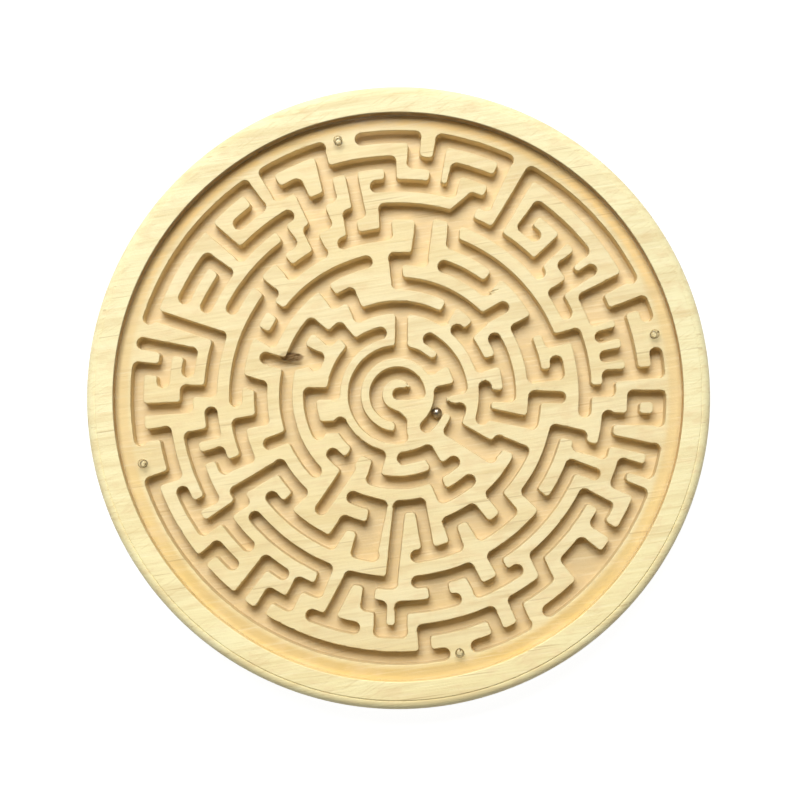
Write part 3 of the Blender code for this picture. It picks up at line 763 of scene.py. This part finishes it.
def build_cover(face_material, edge_material):
    """Clear disc with broken edges and four countersunk holes. Thin leftover faces lie in the
    holes' mouths, under the pins' heads, so the sheet isn't fully closed there."""
    top, bottom, edge = COVER_BOTTOM + COVER_THICKNESS, COVER_BOTTOM, COVER_BREAK
    hole = PIN_HOLE_RADIUS
    levels = ((COVER_RADIUS - edge, hole + edge, bottom), (COVER_RADIUS, hole, bottom + edge),
              (COVER_RADIUS, hole, top - edge), (COVER_RADIUS - edge, hole + edge, top))
    verts, faces, slots = [], [], []
    rings = []
    for outer, inner, height in levels:
        row = [circle_points(outer, COVER_COUNT)]
        row += [circle_points(inner, HOLE_COUNT, polar(*pin_place)) for pin_place in PIN_PLACES]
        rings.append([])
        for loop in row:
            rings[-1].append(list(range(len(verts), len(verts) + len(loop))))
            verts += [(px, py, height) for px, py in loop.tolist()]
    for low, high in zip(rings, rings[1:]):
        for number, (below, above) in enumerate(zip(low, high)):
            for i in range(len(below)):
                j = (i + 1) % len(below)
                quad = (below[i], below[j], above[j], above[i])
                faces.append(quad if number == 0 else quad[::-1])
                slots.append(1)
    for level, upward in ((rings[0], False), (rings[-1], True)):
        loops = [[Vector((verts[i][0], verts[i][1])) for i in loop] for loop in level]
        flat = [p for loop in loops for p in loop]
        names = [i for loop in level for i in loop]
        edges, first = [], 0
        for loop in loops:
            edges += [(first + i, first + (i + 1) % len(loop)) for i in range(len(loop))]
            first += len(loop)
        centres = [polar(*pin_place) for pin_place in PIN_PLACES]
        made, _, tris, origins, _, _ = geometry.delaunay_2d_cdt(flat, edges, [], 0, 1e-5)
        index = [names[o[0]] for o in origins]
        for tri in tris:
            middle = sum((made[i] for i in tri), Vector((0, 0))) / 3
            if any(math.hypot(middle.x - x, middle.y - y) < hole for x, y in centres):
                continue
            corners = tuple(index[i] for i in tri)
            faces.append(corners if upward else corners[::-1])
            slots.append(0)
    mesh = bpy.data.meshes.new("cover_sheet")
    mesh.from_pydata([(a * MM, b * MM, c * MM) for a, b, c in verts], [], faces)
    mesh.materials.append(face_material)
    mesh.materials.append(edge_material)
    mesh.polygons.foreach_set("material_index", slots)
    cover = bpy.data.objects.new("cover_sheet", mesh)
    bpy.context.collection.objects.link(cover)
    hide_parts("clear_cover")
    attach(cover, "maze")


def add_gate_mark(mesh, centre, height, degrees):
    """A closed dark wedge on the rim of a pin's head: painted shade where the clear head looks
    dark.
    """
    ahead = Vector(polar(1.0, degrees))
    aside = Vector((-ahead.y, ahead.x))
    build = bmesh.new()
    build.from_mesh(mesh)
    corners = []
    for level in (-0.2, 0.12):
        for along, wide in ((0.62, 0.12), (1.48, 0.30)):
            for side in (-1, 1):
                spot = Vector(centre) + ahead * along + aside * wide * side
                corners.append(build.verts.new((spot.x * MM, spot.y * MM,
                                                (height + level) * MM)))
    for quad in ((0, 2, 3, 1), (4, 5, 7, 6), (0, 1, 5, 4), (2, 6, 7, 3), (0, 4, 6, 2),
                 (1, 3, 7, 5)):
        build.faces.new([corners[i] for i in quad]).material_index = 4
    build.to_mesh(mesh)
    build.free()


def build_pins(shank_material, body_material, rim_shade_material, shade_wedge_material):
    """Small press-in pins: ribbed shank, and a clear neck with a low domed, dimpled head."""
    head, rise = PIN_HEAD_BOTTOM, PIN_HEAD_HEIGHT
    profile = [(0.0, PIN_BOTTOM), (0.25, PIN_BOTTOM + 0.25), (PIN_SHANK_RADIUS - 0.1, 6.2)]
    for rib in range(5):
        low = 6.6 + rib * 1.1
        profile += [(PIN_SHANK_RADIUS - 0.1, low), (PIN_SHANK_RADIUS, low + 0.55),
                    (PIN_SHANK_RADIUS - 0.1, low + 0.6)]
    profile += [(PIN_SHANK_RADIUS - 0.05, WALL_TOP - 0.3),
                (PIN_SHANK_RADIUS - 0.15, WALL_TOP - 0.2), (0.0, WALL_TOP - 0.15)]
    clear_from = len(profile)
    profile += [(0.0, WALL_TOP), (PIN_SHANK_RADIUS - 0.15, WALL_TOP),
                (PIN_SHANK_RADIUS - 0.1, head), (PIN_HEAD_RADIUS - 0.12, head),
                (PIN_HEAD_RADIUS, head + 0.1), (PIN_HEAD_RADIUS - 0.03, head + 0.24),
                (PIN_HEAD_RADIUS - 0.22, head + 0.42), (PIN_HEAD_RADIUS - 0.55, head + 0.55),
                (PIN_HEAD_RADIUS - 0.95, head + rise), (0.40, head + rise - 0.02),
                (0.28, head + rise - 0.16), (0.0, head + rise - 0.22)]
    # from here the head's rounded rim takes a darker material: painted shade on the clear head
    rim_shade_from = len(profile) - 9
    for number, pin_place in enumerate(PIN_PLACES, 1):
        centre = polar(*pin_place)
        pin = turned_piece(f"pin_{number}", profile, PIN_COUNT,
                           (shank_material, body_material, rim_shade_material, body_material,
                            shade_wedge_material), centre, (clear_from, rim_shade_from, rim_shade_from + 4))
        add_gate_mark(pin.data, centre, head + 0.36, SHADE_WEDGE_ANGLES[number - 1])
        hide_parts(f"cover_pin_{number}")
        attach(pin, "maze")


def build_ball(material):
    """Ball from a subdivided cube, so that its surface has no poles."""
    build = bmesh.new()
    bmesh.ops.create_cube(build, size=2.0)
    bmesh.ops.subdivide_edges(build, edges=build.edges, cuts=BALL_CUTS, use_grid_fill=True)
    centre = Vector((*polar(BALL_RING, BALL_ANGLE), BALL_HEIGHT)) * MM
    for vert in build.verts:
        vert.co = centre + vert.co.normalized() * BALL_RADIUS * MM
    mesh = bpy.data.meshes.new("ball_steel")
    build.to_mesh(mesh)
    build.free()
    mesh.shade_smooth()
    mesh.materials.append(material)
    ball = bpy.data.objects.new("ball_steel", mesh)
    bpy.context.collection.objects.link(ball)
    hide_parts("steel_ball")
    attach(ball, "ball")


# ================= stage =================
FLOOR_GREY = (0.20, 0.20, 0.20)
FLOOR_GLOW = 0.95
FLOOR_HALF_SIZE = 4.0           # this part's sizes are in metres
FLOOR_HEIGHT = -0.0003
KEY_AZIMUTH = 13.0              # degrees from +Y towards -X
KEY_ELEVATION = 56.0
KEY_DISTANCE = 1.2
KEY_SIZE = (0.72, 0.66)
KEY_POWER = 22.4
KEY_COLOUR = (1.0, 0.99, 0.965)
SKY_COLOUR = (1.0, 0.985, 0.96)
SKY_STRENGTH = 0.06
CAMERA_SENSOR = 36.0            # mm, like the lens
CAMERA_LENS = 69.23
CAMERA_CLIP = (0.01, 20.0)
CAMERA_PLACE = (0.01143, -0.03407, 0.51132)
CAMERA_TURN = (3.7076, 1.1976, 0.2630)


def build_stage():
    n = Nodes("studio_floor")
    n.shader.inputs["Base Color"].default_value = (*FLOOR_GREY, 1.0)
    n.shader.inputs["Roughness"].default_value = 0.9
    n.shader.inputs["Emission Color"].default_value = (1.0, 1.0, 1.0, 1.0)
    n.shader.inputs["Emission Strength"].default_value = FLOOR_GLOW
    build = bmesh.new()
    bmesh.ops.create_grid(build, x_segments=8, y_segments=8, size=FLOOR_HALF_SIZE)
    mesh = bpy.data.meshes.new("floor")
    build.to_mesh(mesh)
    build.free()
    mesh.materials.append(n.material)
    floor = bpy.data.objects.new("floor", mesh)
    floor.location.z = FLOOR_HEIGHT
    bpy.context.collection.objects.link(floor)


def build_lights():
    world = bpy.data.worlds.new("studio")
    bpy.context.scene.world = world
    world.use_nodes = True
    back = world.node_tree.nodes["Background"]
    back.inputs["Color"].default_value = (*SKY_COLOUR, 1.0)
    back.inputs["Strength"].default_value = SKY_STRENGTH
    azimuth, elevation = math.radians(KEY_AZIMUTH), math.radians(KEY_ELEVATION)
    away = Vector((-math.sin(azimuth) * math.cos(elevation),
                   math.cos(azimuth) * math.cos(elevation), math.sin(elevation)))
    data = bpy.data.lights.new("key", "AREA")
    data.shape = "RECTANGLE"
    data.size, data.size_y = KEY_SIZE
    data.energy = KEY_POWER
    data.color = KEY_COLOUR
    lamp = bpy.data.objects.new("key", data)
    lamp.location = away * KEY_DISTANCE
    lamp.rotation_mode = "QUATERNION"
    lamp.rotation_quaternion = away.to_track_quat("Z", "Y")
    bpy.context.collection.objects.link(lamp)


def build_camera():
    data = bpy.data.cameras.new("camera")
    data.sensor_width = CAMERA_SENSOR
    data.lens = CAMERA_LENS
    data.clip_start, data.clip_end = CAMERA_CLIP
    camera = bpy.data.objects.new("camera", data)
    camera.location = CAMERA_PLACE
    camera.rotation_euler = tuple(math.radians(angle) for angle in CAMERA_TURN)
    bpy.context.collection.objects.link(camera)
    bpy.context.scene.camera = camera


build_camera()
build_lights()
build_stage()
build_wood(wood_material())
build_cover(acrylic_material(), acrylic_edge_material())
build_pins(pin_material("pin_shank", (0.90, 0.80, 0.52), (0.84, 0.74, 0.45), 1.0),
           pin_material("clear_pin", (0.96, 0.86, 0.56), (0.90, 0.78, 0.46), 0.16),
           # the pin heads' darker rim is painted shade
           pin_material("pin_rim_shade", (0.42, 0.29, 0.10), (0.34, 0.23, 0.07), 0.50),
           # the dark wedge on each head is painted shade
           pin_material("pin_shade_wedge", (0.22, 0.16, 0.06), (0.15, 0.10, 0.04), 0.85))
build_ball(steel_material())
bpy.context.scene.view_settings.view_transform = "Standard"
